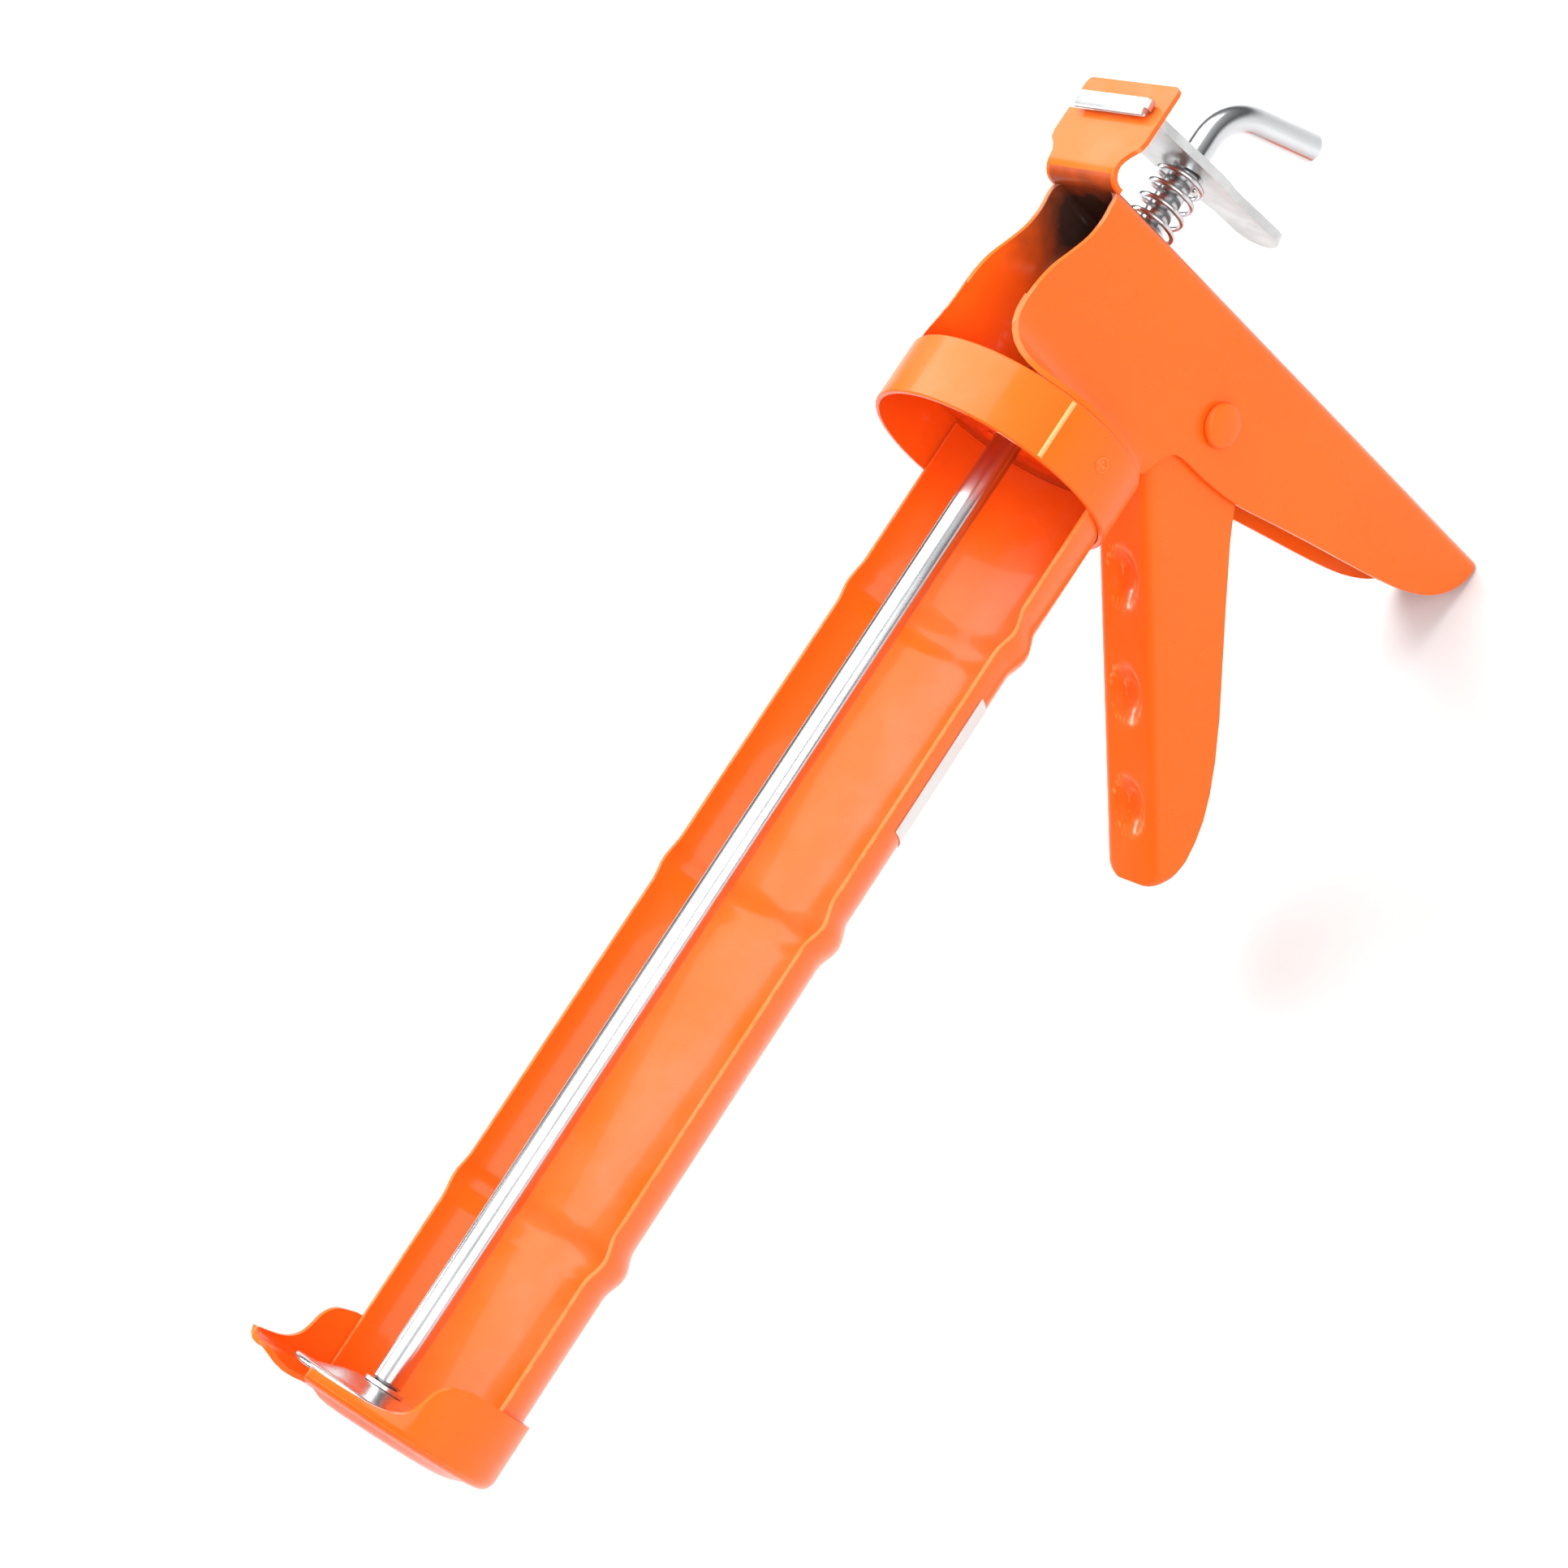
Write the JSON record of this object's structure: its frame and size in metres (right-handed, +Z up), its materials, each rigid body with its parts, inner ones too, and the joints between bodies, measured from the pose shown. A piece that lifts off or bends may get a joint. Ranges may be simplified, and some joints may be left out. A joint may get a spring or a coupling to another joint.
{
  "type": "caulking gun",
  "caption": "Half-barrel caulking gun with a smooth push rod, squeeze trigger, sprung drive plate, thumb release plate and slotted nose cap.",
  "frame": {"origin": "bottom centre of the whole gun's bounding box, plunger fully forward and trigger released", "axes": "+X towards the nose along the push rod, +Y to the gun's left, +Z up"},
  "size_m": [0.341, 0.057, 0.1622],
  "materials": {
    "paint": "gloss orange enamel",
    "bright_steel": "bright plated",
    "steel": "plain satin",
    "zinc": "bright zinc plate",
    "label": "blank satin sticker"
  },
  "bodies": {
    "gun": {"frame": "paint", "collar_ring": "paint", "barrel_trough": "paint", "front_cap": "paint", "guide_plate": "paint", "label": "label", "trigger_rivet": "paint", "rivet_bush": "steel", "drive_spring": "bright_steel", "release_spring": "bright_steel"},
    "trigger": {"trigger": "paint"},
    "driver": {"drive_plate": "steel"},
    "plunger": {"plunger_disc": "zinc", "plunger_washer": "zinc"},
    "rod": {"push_rod": "bright_steel", "plunger_nut": "zinc"},
    "release": {"release_plate": "zinc"}
  },
  "joints": [
    {"name": "trigger_pull", "type": "hinge", "parent": "gun", "child": "trigger", "pos_m": [-0.10502, 0, 0.09529], "axis": [0, 1, 0], "range_deg": [0, 25], "stiffness_Nm_per_rad": 0.7, "springref_deg": -11.46},
    {"name": "drive_slide", "type": "slide", "parent": "gun", "child": "driver", "axis": [1, 0, 0], "range_m": [0, 0.0099], "deforming": ["drive_spring"]},
    {"name": "rod_slide", "type": "slide", "parent": "gun", "child": "plunger", "axis": [1, 0, 0], "range_m": [-0.215, 0]},
    {"name": "rod_turn", "type": "hinge", "parent": "plunger", "child": "rod", "pos_m": [-0.07732, 0, 0.13399], "axis": [1, 0, 0], "continuous": true},
    {"name": "release_press", "type": "hinge", "parent": "gun", "child": "release", "pos_m": [-0.13962, 0, 0.15869], "axis": [0, -1, 0], "range_deg": [0, 8], "stiffness_Nm_per_rad": 0.6, "springref_deg": -11.46, "deforming": ["release_spring"]}
  ],
  "couplings": [
    {"joint": "drive_slide", "follows": "trigger_pull", "m_per_rad": 0.0223}
  ]
}
